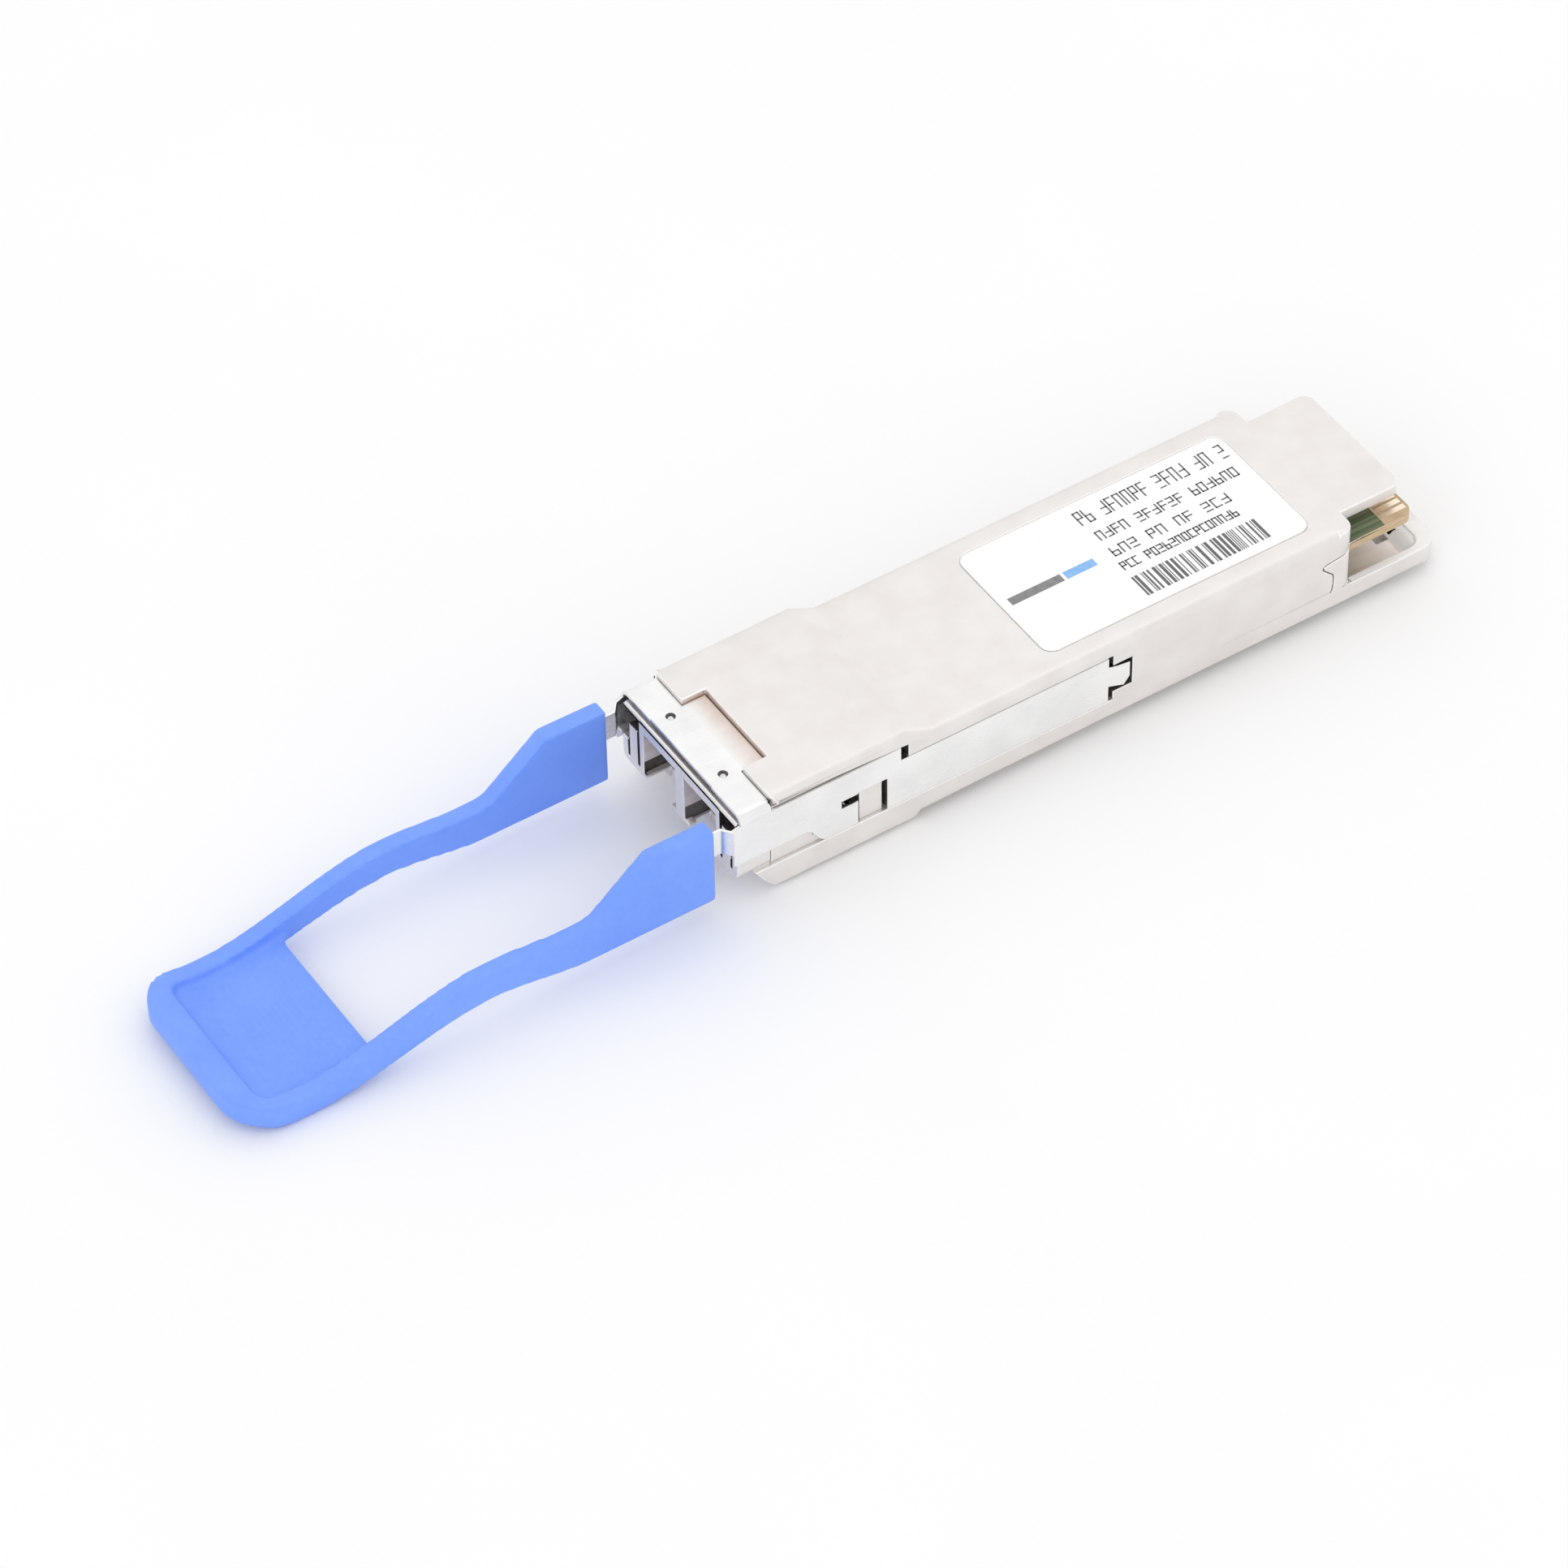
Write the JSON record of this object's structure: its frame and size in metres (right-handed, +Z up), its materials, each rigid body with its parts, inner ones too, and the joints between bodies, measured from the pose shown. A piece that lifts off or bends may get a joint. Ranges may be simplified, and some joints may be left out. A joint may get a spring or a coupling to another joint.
{
  "type": "optical transceiver module",
  "caption": "Pluggable fibre transceiver: die-cast housing with duplex fibre ports, a card edge at the rear and a spring-returned latch slider worked by a moulded pull tab.",
  "frame": {"origin": "centre of the base of the bounding box, on the plane of symmetry, level with the lowest point of the pull tab", "axes": "+X runs from the pull tab towards the card edge, +Z points up through the face with the label, +Y is to the left"},
  "size_m": [0.1204, 0.0184, 0.0109],
  "materials": {
    "die_cast": "satin nickel plate on a zinc die casting",
    "stainless_sheet": "bright rolled stainless sheet",
    "spring_steel": "bright drawn steel",
    "tab_plastic": "satin moulded blue plastic",
    "label_film": null,
    "receptacle_plastic": "moulded beige-brown plastic",
    "sleeve_ceramic": "polished white ceramic",
    "gold_plate": "gold plate",
    "circuit_board": "green solder mask on glass epoxy",
    "flex_film": "amber polyimide film",
    "chip_package": "moulded black package",
    "thermal_pad": "soft grey gap pad",
    "gasket": "conductive elastomer"
  },
  "bodies": {
    "housing": {"lower_shell": "die_cast", "upper_shell": "die_cast", "label": "label_film", "left_seam_gasket": "gasket", "right_seam_gasket": "gasket", "front_left_screw": "spring_steel", "front_right_screw": "spring_steel", "rear_left_screw": "spring_steel", "rear_right_screw": "spring_steel", "left_return_spring": "spring_steel", "right_return_spring": "spring_steel", "fibre_receptacle": "receptacle_plastic", "receptacle_clamp": "stainless_sheet", "left_ferrule_sleeve": "sleeve_ceramic", "right_ferrule_sleeve": "sleeve_ceramic", "transmitter_subassembly": "gold_plate", "receiver_subassembly": "gold_plate", "transmitter_flex": "flex_film", "receiver_flex": "flex_film", "optics_thermal_pad": "thermal_pad", "main_board": "circuit_board", "top_contacts": "gold_plate", "bottom_contacts": "gold_plate", "signal_processor": "chip_package", "processor_thermal_pad": "thermal_pad", "laser_driver": "chip_package", "receiver_amplifier": "chip_package", "power_inductor": "chip_package", "microcontroller": "chip_package"},
    "slider": {"latch_slider": "stainless_sheet", "pull_tab": "tab_plastic"}
  },
  "joints": [
    {"name": "latch_release", "type": "slide", "parent": "housing", "child": "slider", "axis": [-1, 0, 0], "range_m": [0, 0.002], "stiffness_N_per_m": 3000, "deforming": ["left_return_spring", "right_return_spring"]}
  ]
}
